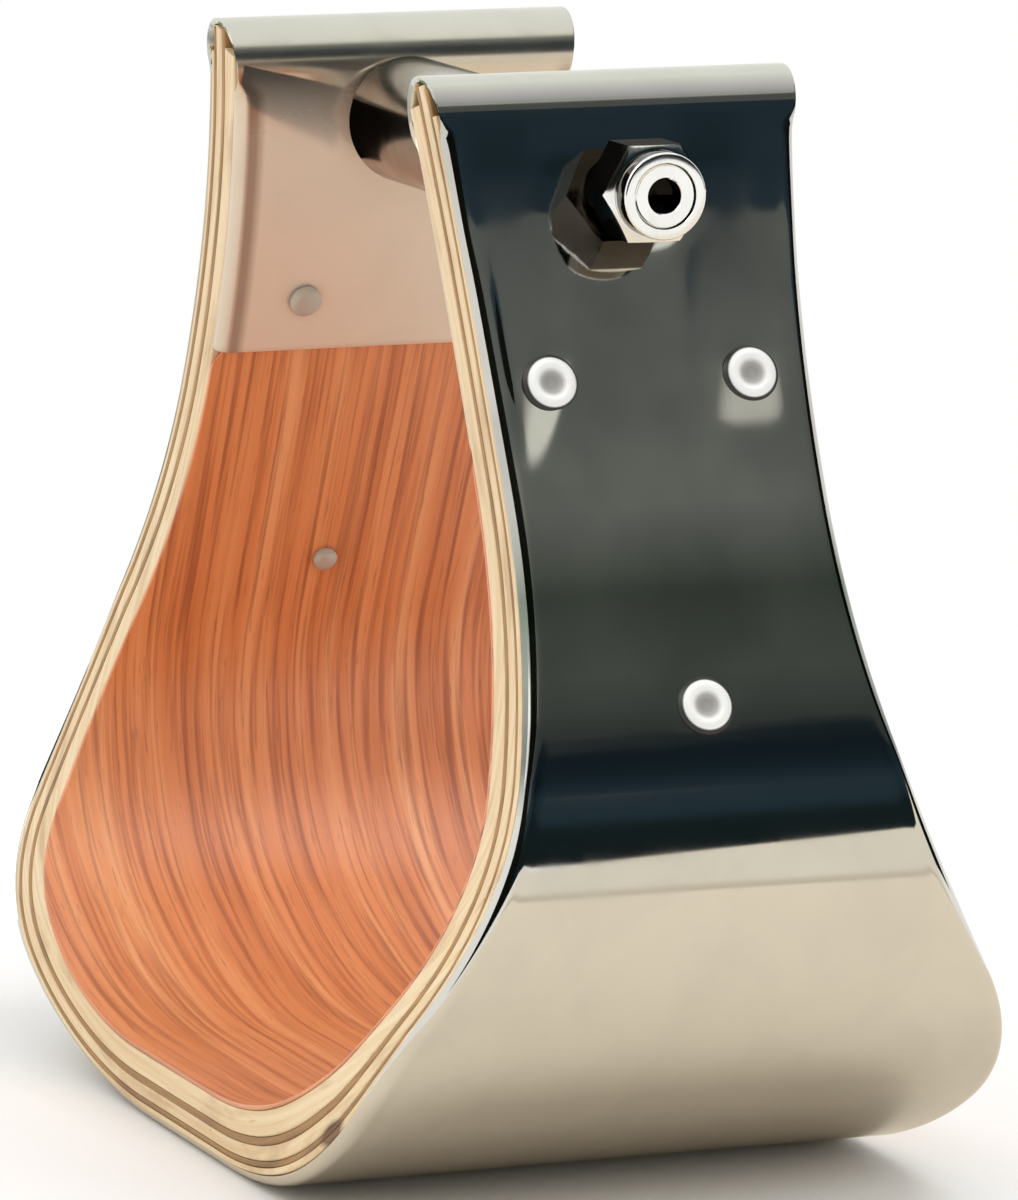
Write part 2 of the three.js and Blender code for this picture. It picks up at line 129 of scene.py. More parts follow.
# Fineness of the pieces
WOOD_CUTS = 420
TURNED_STEPS = 48
ROLLER_STEPS = 64
ROUND_STEPS = 5
STATIONS_BOW = 176
STATIONS_ROLL = 40
STATIONS_LINER = 44
STATIONS = STATIONS_BOW + STATIONS_ROLL + STATIONS_LINER
COLUMNS = 64
BEND_COLUMNS_SHARE = 0.25


# Path of the bow
def step_along(x, z, heading, length, turn):
    """Point and heading at the end of a run that starts at a point and turns evenly."""
    if turn == 0:
        return x + length * math.cos(heading), z + length * math.sin(heading), heading
    radius = length / turn
    end = heading + turn
    return (x + radius * (math.sin(end) - math.sin(heading)),
            z - radius * (math.cos(end) - math.cos(heading)), end)


def bow_runs():
    wall_heading = math.pi / 2 + WALL_LEAN
    corner_turn = wall_heading - SHOULDER_TURN
    runs = [
        (TREAD_FLAT / 2, 0.0),
        (SHOULDER_RADIUS * SHOULDER_TURN, SHOULDER_TURN),
        (CORNER_RADIUS * corner_turn, corner_turn),
        (WALL_STRAIGHT, 0.0),
    ]
    x, z, heading = 0.0, 0.0, 0.0
    for length, turn in runs:
        x, z, heading = step_along(x, z, heading, length, turn)
    rise = HEIGHT - ROLL_RADIUS - z + NECK_RADIUS * math.cos(wall_heading)
    neck_turn = wall_heading - math.acos(rise / (NECK_RADIUS + ROLL_RADIUS))
    return runs + [(NECK_RADIUS * neck_turn, -neck_turn)]


WALL_RUNS = bow_runs()
BOW_LENGTH = sum(length for length, _ in WALL_RUNS)


def place_on(runs, distance):
    """Point and heading at a distance along a path whose last run goes on past its end."""
    x, z, heading = 0.0, 0.0, 0.0
    rest = distance
    for length, turn in runs[:-1]:
        if rest <= length:
            return step_along(x, z, heading, rest, turn * rest / length)
        x, z, heading = step_along(x, z, heading, length, turn)
        rest -= length
    length, turn = runs[-1]
    return step_along(x, z, heading, rest, turn * rest / length)


def between(ends, share):
    return ends[0] + (ends[1] - ends[0]) * share


def ease(start, end, value):
    """0 before the start, 1 after the end, and a soft rise from one to the other."""
    t = min(max((value - start) / (end - start), 0.0), 1.0)
    return t * t * (3 - 2 * t)


def on_wall(distance, inward):
    x, z, heading = place_on(WALL_RUNS, distance)
    return x - math.sin(heading) * inward, z + math.cos(heading) * inward


def distance_at_level(level, inward=0.0):
    low, high = 0.0, BOW_LENGTH
    for _ in range(50):
        middle = (low + high) / 2
        if on_wall(middle, inward)[1] < level:
            low = middle
        else:
            high = middle
    return low


LINER_LENGTH = BOW_LENGTH - distance_at_level(LINER_END_LEVEL, LINED_WALL)
SHEET_RUNS = WALL_RUNS + [
    (math.pi * ROLL_RADIUS, math.pi),
    (LINER_LENGTH, LINER_LENGTH / (NECK_RADIUS + LINED_WALL)),
]
SHEET_LENGTH = sum(length for length, _ in SHEET_RUNS)


def half_depth(level):
    z = min(max(level, 0.0), HEIGHT)
    stops = list(zip(SIDE_OUTLINE, SIDE_OUTLINE[1:]))
    (za, da, sa), (zb, db, sb) = next(pair for pair in stops if z <= pair[1][0])
    span = zb - za
    t = (z - za) / span
    rise = t * t * (3 - 2 * t)
    bend = t * (1 - t) * ((1 - t) * sa - t * sb) * span
    return (da + (db - da) * rise + bend) / 2 - OUTLINE_TRIM


def wall_face(level):
    return on_wall(distance_at_level(level), 0.0)[0]


NUT_START = wall_face(BOLT_LEVEL - HEX_ACROSS_FLATS / 2) + SEAT_GAP
HEAD_START = wall_face(BOLT_LEVEL - HEX_CORNER) + SEAT_GAP
NUT_HEIGHT = NUT_HEX_HEIGHT + COLLAR_HEIGHT


# Finishing of pieces
def linked(name, data):
    made = bpy.data.objects.new(name, data)
    bpy.context.scene.collection.objects.link(made)
    return made


def linked_mesh(name, bm, material):
    mesh = bpy.data.meshes.new(name)
    bm.to_mesh(mesh)
    bm.free()
    mesh.materials.append(material)
    return linked(name, mesh)


def finish_piece(bm, name, body, slot, sharp=35.0):
    """Turns a shape in millimetres into a piece that rides on its body, in its slot's material."""
    bmesh.ops.remove_doubles(bm, verts=bm.verts[:], dist=1e-4)
    bmesh.ops.scale(bm, vec=(MM, MM, MM), verts=bm.verts[:])
    for face in bm.faces:
        face.smooth = True
    for edge in bm.edges:
        edge.smooth = edge.calc_face_angle(0.0) < math.radians(sharp)
    piece = linked_mesh(name, bm, MATERIALS[slot])
    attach(piece, body)
    return piece


def spun(profile, steps=TURNED_STEPS, closed=False):
    """Solid or ring turned about the Z axis from a profile of radius and height."""
    bm = bmesh.new()
    points = [bm.verts.new((radius, 0.0, height)) for radius, height in profile]
    lines = [bm.edges.new(pair) for pair in zip(points, points[1:])]
    if closed:
        lines.append(bm.edges.new((points[-1], points[0])))
    bmesh.ops.spin(bm, geom=points + lines, axis=(0, 0, 1), cent=(0, 0, 0), steps=steps,
                   angle=math.tau, use_merge=True)
    bmesh.ops.remove_doubles(bm, verts=bm.verts[:], dist=1e-4)
    bmesh.ops.recalc_face_normals(bm, faces=bm.faces[:])
    return bm


def store_uv(bm, name, place_of):
    """UV map that gives each corner the place of its vertex."""
    layer = bm.loops.layers.uv.new(name)
    for face in bm.faces:
        for loop in face.loops:
            loop[layer].uv = place_of(loop.vert)


def arc_points(centre, radius, start, end):
    """Points of a round corner in a profile, from one angle to another in degrees."""
    angles = [math.radians(start + (end - start) * k / ROUND_STEPS) for k in range(ROUND_STEPS + 1)]
    return [(centre[0] + radius * math.cos(a), centre[1] + radius * math.sin(a)) for a in angles]


def turn_to(bm, direction, place):
    """Turns a shape made along +Z to point along a direction and moves it to its place."""
    turn = Vector((0, 0, 1)).rotation_difference(Vector(direction)).to_matrix()
    bmesh.ops.rotate(bm, cent=(0, 0, 0), matrix=turn, verts=bm.verts[:])
    bmesh.ops.translate(bm, vec=place, verts=bm.verts[:])


# Shader helpers and groups. A strip's places count in units of 100 mm, a turned piece's in units of 10 mm.
STRIP_UNIT = 100.0
TURNED_UNIT = 10.0
WHITE = (1.0, 1.0, 1.0)
GRAIN_WANDER = 0.025


def new_group(name, masks):
    """Group that takes places on a strip and gives masks, with its strip socket and its output node."""
    group = bpy.data.node_groups.new(name, "ShaderNodeTree")
    group.interface.new_socket("Strip", in_out="INPUT", socket_type="NodeSocketVector")
    for label in masks:
        group.interface.new_socket(label, in_out="OUTPUT", socket_type="NodeSocketFloat")
    strip = group.nodes.new("NodeGroupInput").outputs["Strip"]
    return group, strip, group.nodes.new("NodeGroupOutput")


def add(tree, kind, **settings):
    node = tree.nodes.new(kind)
    for key, value in settings.items():
        setattr(node, key, value)
    return node


def math_node(tree, operation, first, second=None):
    node = add(tree, "ShaderNodeMath", operation=operation)
    for socket, value in zip(node.inputs, (first, second)):
        if value is None:
            continue
        if isinstance(value, (int, float)):
            socket.default_value = value
        else:
            tree.links.new(value, socket)
    return node.outputs[0]


def ramp(tree, factor, stops, interpolation="LINEAR"):
    """Colour ramp. A stop's colour may be a single number, for a grey."""
    node = add(tree, "ShaderNodeValToRGB")
    node.color_ramp.interpolation = interpolation
    elements = node.color_ramp.elements
    while len(elements) < len(stops):
        elements.new(0.5)
    for element, (position, color) in zip(elements, stops):
        element.position = position
        element.color = (color, color, color, 1.0) if isinstance(color, float) else (*color, 1.0)
    tree.links.new(factor, node.inputs["Fac"])
    return node.outputs["Color"]


def mix_colors(tree, factor, first, second, blend="MIX"):
    node = add(tree, "ShaderNodeMix", data_type="RGBA", blend_type=blend)
    for socket, value in ((node.inputs[0], factor), (node.inputs[6], first), (node.inputs[7], second)):
        if isinstance(value, bpy.types.NodeSocket):
            tree.links.new(value, socket)
        elif isinstance(value, (int, float)):
            socket.default_value = value
        else:
            socket.default_value = (*value, 1.0)
    return node.outputs[2]


def uv_map(tree, name):
    return add(tree, "ShaderNodeUVMap", uv_map=name).outputs[0]


def axes_of(tree, vector):
    split = add(tree, "ShaderNodeSeparateXYZ")
    tree.links.new(vector, split.inputs[0])
    return split.outputs


def stretched_noise(tree, source, scale, detail=3.0, roughness=0.5, distortion=0.0):
    """Noise on coordinates that are stretched axis by axis."""
    mapping = add(tree, "ShaderNodeMapping")
    mapping.inputs["Scale"].default_value = scale
    tree.links.new(source, mapping.inputs["Vector"])
    texture = add(tree, "ShaderNodeTexNoise")
    texture.inputs["Scale"].default_value = 1.0
    texture.inputs["Detail"].default_value = detail
    texture.inputs["Roughness"].default_value = roughness
    texture.inputs["Distortion"].default_value = distortion
    tree.links.new(mapping.outputs[0], texture.inputs["Vector"])
    return texture.outputs["Fac"]


def wood_grain_group():
    """Straight grain along the strip: broad bands, fine lines and short dark pores."""
    group, strip, outputs = new_group("straight_wood_grain", ("Bands", "Lines", "Pores"))
    wander = stretched_noise(group, strip, (1.2, 4.0, 1.0), 1.0)
    shifted = add(group, "ShaderNodeVectorMath", operation="MULTIPLY_ADD")
    combine = add(group, "ShaderNodeCombineXYZ")
    group.links.new(math_node(group, "SUBTRACT", wander, 0.5), combine.inputs["Y"])
    group.links.new(combine.outputs[0], shifted.inputs[0])
    shifted.inputs[1].default_value = (0.0, GRAIN_WANDER, 0.0)
    group.links.new(strip, shifted.inputs[2])
    grain = shifted.outputs[0]
    group.links.new(stretched_noise(group, grain, (0.5, 24.0, 1.0), 2.0), outputs.inputs["Bands"])
    group.links.new(stretched_noise(group, grain, (1.6, 80.0, 1.0), 3.0, 0.55), outputs.inputs["Lines"])
    group.links.new(stretched_noise(group, grain, (12.0, 190.0, 1.0), 2.0), outputs.inputs["Pores"])
    return group


def scratch_group():
    """Faint hairline scratches and smudges of handled metal."""
    group, strip, outputs = new_group("handled_metal", ("Hairlines", "Smudges"))
    hairlines = stretched_noise(group, strip, (2.0, 160.0, 1.0), 4.0, 0.7, 0.3)
    smudges = stretched_noise(group, strip, (6.0, 6.0, 6.0), 3.0, 0.6, 0.6)
    group.links.new(hairlines, outputs.inputs["Hairlines"])
    group.links.new(smudges, outputs.inputs["Smudges"])
    return group


GRAIN = wood_grain_group()
HANDLED = scratch_group()


def new_material(name, **constants):
    material = bpy.data.materials.new(name)
    material.use_nodes = True
    tree = material.node_tree
    shader = tree.nodes["Principled BSDF"]
    for label, value in constants.items():
        shader.inputs[label.replace("_", " ")].default_value = value
    return material, tree, shader


def place_group(tree, group, source):
    node = add(tree, "ShaderNodeGroup", node_tree=group)
    tree.links.new(source, node.inputs["Strip"])
    return node.outputs


def object_places(tree):
    """Object coordinates, and the same ones in the strip's unit of 100 mm."""
    source = add(tree, "ShaderNodeTexCoord").outputs["Object"]
    scaled = add(tree, "ShaderNodeVectorMath", operation="SCALE")
    scaled.inputs["Scale"].default_value = 1 / (STRIP_UNIT * MM)
    tree.links.new(source, scaled.inputs[0])
    return source, scaled.outputs[0]


def feed(tree, shader, label, value):
    tree.links.new(value, shader.inputs[label])


def set_roughness(tree, shader, mask, stops):
    feed(tree, shader, "Roughness", ramp(tree, mask, stops))


def add_bump(tree, shader, height, strength, distance):
    bump = add(tree, "ShaderNodeBump")
    bump.inputs["Strength"].default_value = strength
    bump.inputs["Distance"].default_value = distance
    tree.links.new(height, bump.inputs["Height"])
    feed(tree, shader, "Normal", bump.outputs[0])


def red_veneer_material():
    """Reddish veneer: broad tone bands, dark growth lines and short pores, under satin varnish."""
    material, tree, shader = new_material("red_veneer_varnished", Coat_Weight=0.9, Coat_Roughness=0.3,
                                          IOR=1.5)
    strip = uv_map(tree, "strip")
    grain = place_group(tree, GRAIN, strip)
    base = ramp(tree, grain["Bands"], [
        (0.30, (0.60, 0.180, 0.050)),
        (0.46, (0.70, 0.228, 0.070)),
        (0.58, (0.77, 0.285, 0.100)),
        (0.72, (0.83, 0.365, 0.155)),
    ])
    line_tone = ramp(tree, grain["Lines"], [
        (0.34, (0.50, 0.36, 0.26)),
        (0.43, (0.74, 0.64, 0.54)),
        (0.53, 1.0),
    ])
    lined = mix_colors(tree, 0.85, base, line_tone, "MULTIPLY")
    pore_mask = ramp(tree, grain["Pores"], [(0.62, 0.0), (0.72, 0.35)])
    pored = mix_colors(tree, pore_mask, lined, (0.15, 0.040, 0.015))
    feed(tree, shader, "Base Color", pored)
    set_roughness(tree, shader, grain["Lines"], [(0.3, 0.55), (0.7, 0.40)])
    add_bump(tree, shader, grain["Lines"], 0.35, 0.00012)
    return material


def ply_material(name, light, dark, mark):
    """Sawn and sanded ply edge: long fibres, a few brown marks, and the one brown void."""
    material, tree, shader = new_material(name, Coat_Weight=0.2, Coat_Roughness=0.3)
    strip = uv_map(tree, "strip")
    grain = place_group(tree, GRAIN, strip)
    fibre = ramp(tree, grain["Lines"], [(0.30, dark), (0.62, light)])
    patch = stretched_noise(tree, strip, (5.0, 18.0, 1.0), 3.0, 0.6)
    toned = mix_colors(tree, ramp(tree, patch, [(0.52, 0.0), (0.75, 0.7)]), fibre, mark)
    pore_mask = ramp(tree, grain["Pores"], [(0.66, 0.0), (0.74, 0.6)])
    pored = mix_colors(tree, pore_mask, toned, mark)
    squeezed = add(tree, "ShaderNodeVectorMath", operation="MULTIPLY")
    tree.links.new(strip, squeezed.inputs[0])
    squeezed.inputs[1].default_value = (VOID_SQUEEZE, 1.0, 1.0)
    away = add(tree, "ShaderNodeVectorMath", operation="DISTANCE")
    tree.links.new(squeezed.outputs["Vector"], away.inputs[0])
    away.inputs[1].default_value = (VOID_PLACE[0] * VOID_SQUEEZE, VOID_PLACE[1], 0.0)
    void = ramp(tree, away.outputs["Value"], [(VOID_RADIUS * 0.7, 0.92), (VOID_RADIUS, 0.0)])
    feed(tree, shader, "Base Color", mix_colors(tree, void, pored, VOID_COLOR))
    set_roughness(tree, shader, grain["Lines"], [(0.3, 0.62), (0.7, 0.5)])
    add_bump(tree, shader, grain["Lines"], 0.4, 0.0001)
    return material


def metal_material(name, color, shade, roughness, spread):
    """Bright metal with a slight tone change, faint hairlines and smudges."""
    material, tree, shader = new_material(name, Metallic=1.0)
    handled = place_group(tree, HANDLED, object_places(tree)[1])
    tone = ramp(tree, handled["Smudges"], [(0.35, shade), (0.60, color)])
    feed(tree, shader, "Base Color", tone)
    set_roughness(tree, shader, handled["Smudges"], [(0.35, roughness + spread), (0.65, roughness)])
    add_bump(tree, shader, handled["Hairlines"], 0.08, 0.00004)
    return material


# Painted shade along the liner's bends, near both its edges.
LINER_BEND_SHADE = (0.52, 0.46, 0.42)


def polished_sheet_material():
    """Mirror-bright sheet, filmed and clouded up the wall, and duller over the roll and the liner, with
    painted reflections as dark bands up the wall and across the roll, and painted shade along the liner's
    bends.
    """
    material, tree, shader = new_material("polished_sheet_steel", Metallic=1.0)
    strip = uv_map(tree, "strip")
    handled = place_group(tree, HANDLED, strip)
    away = math_node(tree, "ABSOLUTE", axes_of(tree, strip)["X"])
    share = math_node(tree, "DIVIDE", away, SHEET_LENGTH / STRIP_UNIT)

    def at_level(level):
        return distance_at_level(level) / SHEET_LENGTH

    def on_roll(turned):
        return (BOW_LENGTH + turned * math.pi * ROLL_RADIUS) / SHEET_LENGTH

    bright = ramp(tree, handled["Smudges"], [(0.35, 0.95), (0.62, 1.0)])
    # The ramp up the sheet paints its steel tone, and dark bands up the wall and across the roll as
    # painted reflections.
    steel_tone_and_reflection_bands = ramp(tree, share, [
        (at_level(67), (0.73, 0.71, 0.65)),
        (at_level(70), (0.55, 0.56, 0.52)),
        (at_level(74.5), (0.22, 0.23, 0.22)),
        (at_level(79), (0.25, 0.26, 0.24)),
        (at_level(86), (0.38, 0.40, 0.35)),
        (at_level(97), (0.26, 0.30, 0.24)),
        (at_level(109), (0.73, 0.71, 0.65)),
        (on_roll(0.0), (0.60, 0.58, 0.53)),
        (on_roll(0.05), (0.25, 0.25, 0.24)),
        (on_roll(0.12), (0.42, 0.41, 0.39)),
        (on_roll(0.24), (0.66, 0.67, 0.58)),
        (on_roll(0.62), (0.68, 0.68, 0.59)),
        (on_roll(0.90), (0.66, 0.61, 0.51)),
        (on_roll(1.10), (0.78, 0.68, 0.55)),
    ])
    aside = math_node(tree, "ABSOLUTE", axes_of(tree, uv_map(tree, "across"))["X"])
    # Painted shade: the liner is darker along its bends near both edges.
    liner_bend_shade = ramp(tree, aside, [(0.68, 1.0), (0.73, LINER_BEND_SHADE), (0.77, LINER_BEND_SHADE), (0.82, 1.0)])
    on_liner = ramp(tree, share, [(on_roll(0.95), 0.0), (on_roll(1.1), 1.0)])
    liner_bend_shaded = mix_colors(tree, on_liner, WHITE, liner_bend_shade)
    cloud = ramp(tree, stretched_noise(tree, strip, (4.0, 5.0, 1.0), 2.0),
                 [(0.38, (0.78, 0.79, 0.79)), (0.62, 1.0)])
    on_wall_face = ramp(tree, share, [
        (at_level(80), 0.0),
        (at_level(90), 1.0),
        (at_level(148), 1.0),
        (on_roll(-0.1), 0.0),
    ])
    tone = steel_tone_and_reflection_bands
    for layer in (bright, mix_colors(tree, on_wall_face, WHITE, cloud), liner_bend_shaded):
        tone = mix_colors(tree, 1.0, tone, layer, "MULTIPLY")
    feed(tree, shader, "Base Color", tone)
    gloss = ramp(tree, share, [
        (on_roll(0.0), 0.0),
        (on_roll(0.20), 0.35),
        (on_roll(0.55), 0.60),
        (on_roll(0.95), 0.55),
        (on_roll(1.5), 1.0),
    ])
    mirror = ramp(tree, handled["Smudges"], [(0.30, 0.10), (0.60, 0.055)])
    dull = ramp(tree, handled["Smudges"], [(0.30, 0.36), (0.60, 0.28)])
    feed(tree, shader, "Roughness", mix_colors(tree, gloss, mirror, dull))
    filmed = ramp(tree, share, [(on_roll(0.80), 1.0), (on_roll(1.05), 0.85), (on_roll(1.5), 0.4)])
    feed(tree, shader, "Metallic", filmed)
    add_bump(tree, shader, handled["Hairlines"], 0.06, 0.00004)
    return material


def rivet_material():
    """Zinc rivet head with painted light: grey painted shade in its dimple, a white painted highlight over
    its dome and a black painted reflection round its rim, with a duller tail.
    """
    material, tree, shader = new_material("rivet_head_zinc", Metallic=0.25)
    turned = uv_map(tree, "turned")
    handled = place_group(tree, HANDLED, turned)
    radius, height = list(axes_of(tree, turned))[:2]
    # Painted light by radius: grey painted shade in the dimple, a white painted highlight over the dome,
    # and a black painted reflection round the rim.
    head_highlight_and_shade = ramp(tree, radius, [
        (0.09, (0.36, 0.35, 0.33)),
        (0.16, (0.46, 0.45, 0.42)),
        (0.23, (0.97, 0.97, 0.94)),
        (0.365, (0.97, 0.97, 0.94)),
        (0.39, (0.03, 0.03, 0.026)),
    ])
    smudged = ramp(tree, handled["Smudges"], [(0.35, 0.90), (0.60, 1.0)])
    head = mix_colors(tree, 1.0, head_highlight_and_shade, smudged, "MULTIPLY")
    tail = mix_colors(tree, 1.0, smudged, (0.52, 0.45, 0.37), "MULTIPLY")
    tail_side = ramp(tree, math_node(tree, "MULTIPLY", height, -1.0), [(0.30, 0.0), (0.40, 1.0)])
    toned = mix_colors(tree, tail_side, head, tail)
    feed(tree, shader, "Base Color", toned)
    set_roughness(tree, shader, handled["Smudges"], [(0.35, 0.42), (0.65, 0.32)])
    add_bump(tree, shader, handled["Hairlines"], 0.08, 0.00004)
    return material


# Painted dark reflection on the nut's flanks, starting just before the nut, and a darker band round its
# collar.
DARK_FLANK_LEAD = 2.0
COLLAR_DARKENING = (0.16, 0.15, 0.13)


def bolt_material():
    """Bright plated steel, with painted shade in the end hole, a painted dark reflection on the nut's
    flanks, and darker round its collar.
    """
    material, tree, shader = new_material("plated_bolt_steel", Metallic=1.0)
    source, scaled = object_places(tree)
    handled = place_group(tree, HANDLED, scaled)
    x, y, z = axes_of(tree, source)
    rise = math_node(tree, "SUBTRACT", z, BOLT_LEVEL * MM)
    square = math_node(tree, "ADD", math_node(tree, "POWER", y, 2.0), math_node(tree, "POWER", rise, 2.0))
    radius = math_node(tree, "MULTIPLY", math_node(tree, "SQRT", square), 1 / (TURNED_UNIT * MM))
    tone = ramp(tree, handled["Smudges"], [(0.35, (0.84, 0.82, 0.77)), (0.60, (0.95, 0.94, 0.90))])
    # Painted shade: the end hole of the bolt, at the nut's end, is painted black.
    end_hole_shade = ramp(tree, radius, [
        (CENTRE_HOLE_RADIUS / TURNED_UNIT - 0.005, (0.012, 0.010, 0.008)),
        (CENTRE_HOLE_RADIUS / TURNED_UNIT + 0.005, 1.0),
    ])
    nut_end = math_node(tree, "GREATER_THAN", x, 0.0)
    hole_shaded = mix_colors(tree, 1.0, tone, mix_colors(tree, nut_end, WHITE, end_hole_shade), "MULTIPLY")

    def up_nut(height):
        return (height + DARK_FLANK_LEAD) / (NUT_HEIGHT + DARK_FLANK_LEAD)

    past = math_node(tree, "SUBTRACT", x, (NUT_START - DARK_FLANK_LEAD) * MM)
    # Painted dark reflection up the nut's flanks, a brighter chamfer, then a darker band round the collar.
    dark_flanks_and_collar = ramp(tree, math_node(tree, "DIVIDE", past, (NUT_HEIGHT + DARK_FLANK_LEAD) * MM), [
        (up_nut(-0.5), 1.0),
        (up_nut(-0.2), (0.08, 0.07, 0.06)),
        (up_nut(NUT_HEX_HEIGHT - 1.1), (0.10, 0.09, 0.08)),
        (up_nut(NUT_HEX_HEIGHT - 0.8), 1.0),
        (up_nut(NUT_HEX_HEIGHT + 0.1), 0.9),
        (up_nut(NUT_HEX_HEIGHT + 0.4), COLLAR_DARKENING),
        (up_nut(NUT_HEIGHT - 0.6), COLLAR_DARKENING),
        (up_nut(NUT_HEIGHT - 0.4), 1.0),
    ])
    feed(tree, shader, "Base Color", mix_colors(tree, 1.0, hole_shaded, dark_flanks_and_collar, "MULTIPLY"))
    set_roughness(tree, shader, handled["Smudges"], [(0.35, 0.14), (0.65, 0.08)])
    add_bump(tree, shader, handled["Hairlines"], 0.06, 0.00004)
    return material


CLOUD_SCALE = (400.0, 400.0, 400.0)


def nylon_material():
    material, tree, shader = new_material("nylon_ring", Subsurface_Weight=0.1)
    source = add(tree, "ShaderNodeTexCoord").outputs["Object"]
    cloud = stretched_noise(tree, source, CLOUD_SCALE, 2.0)
    tone = ramp(tree, cloud, [(0.35, (0.62, 0.58, 0.48)), (0.65, (0.80, 0.77, 0.68))])
    feed(tree, shader, "Base Color", tone)
    set_roughness(tree, shader, cloud, [(0.3, 0.5), (0.7, 0.4)])
    return material


MATERIALS = {
    "red_veneer": red_veneer_material(),
    "pale_ply": ply_material("pale_ply_edge", (0.87, 0.69, 0.43), (0.74, 0.52, 0.28), (0.50, 0.30, 0.13)),
    "dark_cross_ply": ply_material("dark_cross_ply_edge", (0.42, 0.23, 0.075), (0.27, 0.14, 0.045),
                                   (0.10, 0.05, 0.02)),
    "polished_sheet": polished_sheet_material(),
    "rivet_steel": rivet_material(),
    "bolt_steel": bolt_material(),
    "roller_steel": metal_material("worn_roller_steel", (0.42, 0.37, 0.32), (0.30, 0.26, 0.22),
                                   roughness=0.12, spread=0.08),
    "nylon": nylon_material(),
}


# Wood layers of the bow, whose cross-sections have this nominal half width before they are bent
NOMINAL_HALF = 100.0


def strip_of_section(section, half_length):
    """Straight strip along X, twice the half length long, with a closed cross-section of Y and Z."""
    bm = bmesh.new()
    ring = [bm.verts.new((-half_length, across, inward)) for across, inward in section]
    face = bm.faces.new(ring)
    grown = bmesh.ops.extrude_face_region(bm, geom=[face])
    moved = [item for item in grown["geom"] if isinstance(item, bmesh.types.BMVert)]
    bmesh.ops.translate(bm, vec=(2 * half_length, 0, 0), verts=moved)
    long_edges = [edge for edge in bm.edges
                  if abs(edge.verts[0].co.x - edge.verts[1].co.x) > half_length]
    bmesh.ops.subdivide_edges(bm, edges=long_edges, cuts=WOOD_CUTS, use_grid_fill=True)
    bmesh.ops.recalc_face_normals(bm, faces=bm.faces[:])
    return bm


def bend_strip(bm, narrowing):
    """Bends a straight strip into the bow, narrower beside the liner, and stores its straight places."""
    flat = {}
    for vert in bm.verts:
        along, across, inward = vert.co
        x, z = on_wall(abs(along), inward)
        side = math.copysign(1.0, across)
        narrowed = narrowing * ease(LINER_END_LEVEL + 0.3, LINER_END_LEVEL + 1.2, z)
        inset = NOMINAL_HALF - abs(across) + narrowed
        y = side * (half_depth(z) - inset)
        vert.co = (math.copysign(x, along), y, z)
        flat[vert] = (along / STRIP_UNIT, (y + inward) / STRIP_UNIT)
    store_uv(bm, "strip", flat.get)


def both_edges(edge):
    return edge + [(-across, inward) for across, inward in reversed(edge)]


def eased_rectangle(start, thickness):
    """Cross-section of a plain ply, its four corners slightly eased."""
    low, high, eased = start, start + thickness, min(EASED_EDGE, thickness / 4)
    return both_edges([(NOMINAL_HALF - eased, low), (NOMINAL_HALF, low + eased),
                       (NOMINAL_HALF, high - eased), (NOMINAL_HALF - eased, high)])


def rebated_section(start, thickness):
    """Cross-section of the outer ply, rebated along both edges for the sheet's lips."""
    under = NOMINAL_HALF - SHEET - SEAT_GAP
    behind = BEND_RADIUS + SEAT_GAP
    return both_edges([(NOMINAL_HALF - BEND_RADIUS, start), (under, BEND_RADIUS), (under, behind),
                       (NOMINAL_HALF - EASED_EDGE, behind), (NOMINAL_HALF, behind + EASED_EDGE),
                       (NOMINAL_HALF, start + thickness)])


def end_rise(start, thickness):
    """How far a layer runs on under the roll."""
    reach = max(abs(ROLL_RADIUS - start), abs(ROLL_RADIUS - start - thickness))
    room = ROLL_RADIUS - SHEET - SEAT_GAP
    return math.sqrt(max(0.0, room * room - reach * reach))


def make_wood_layers():
    start = SHEET + BOND_LINE
    for name, thickness, slot in PLIES:
        rebated = name == "outer_ply"
        section = rebated_section(start, thickness) if rebated else eased_rectangle(start, thickness)
        bm = strip_of_section(section, BOW_LENGTH + end_rise(start, thickness))
        bend_strip(bm, SHEET + SEAT_GAP if name == "face_veneer" else 0.0)
        piece = finish_piece(bm, name + "_bent", "bow", slot)
        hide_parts(name)
        start += thickness + BOND_LINE


# Steel cover
ROLL_END = BOW_LENGTH + math.pi * ROLL_RADIUS


def station_distance(k):
    """Distance along the sheet of its k-th row, with closer rows on the roll."""
    if k <= STATIONS_BOW:
        return BOW_LENGTH * k / STATIONS_BOW
    if k <= STATIONS_BOW + STATIONS_ROLL:
        return BOW_LENGTH + (ROLL_END - BOW_LENGTH) * (k - STATIONS_BOW) / STATIONS_ROLL
    return ROLL_END + LINER_LENGTH * (k - STATIONS_BOW - STATIONS_ROLL) / STATIONS_LINER


def lip_share(distance):
    """1 where the sheet's edge is turned right over as a lip, less on the roll."""
    outside = ease(BOW_LENGTH, BOW_LENGTH - LIP_RUN_OUT, distance)
    end_hole_shade = ease(ROLL_END, ROLL_END + LIP_RUN_OUT, distance)
    return max(outside, end_hole_shade)


def rivet_places(side):
    front, back = UPPER_RIVETS_ACROSS[side]
    rise = RIVET_RISE[side]
    return {
        "upper_front": (RIVET_LEVELS["upper"] + rise, front),
        "upper_back": (RIVET_LEVELS["upper"] + rise, back),
        "lower": (RIVET_LEVELS["lower"] + rise, 0.0),
    }


TIP_ROUNDING = 0.08
RIM_ROUNDING = 0.16
SIDES_CHANGE = (-3.0, 4.0)
DEEPEST_POCKET = 0.86
FULL_DEPTH = (60.0, 60.0)


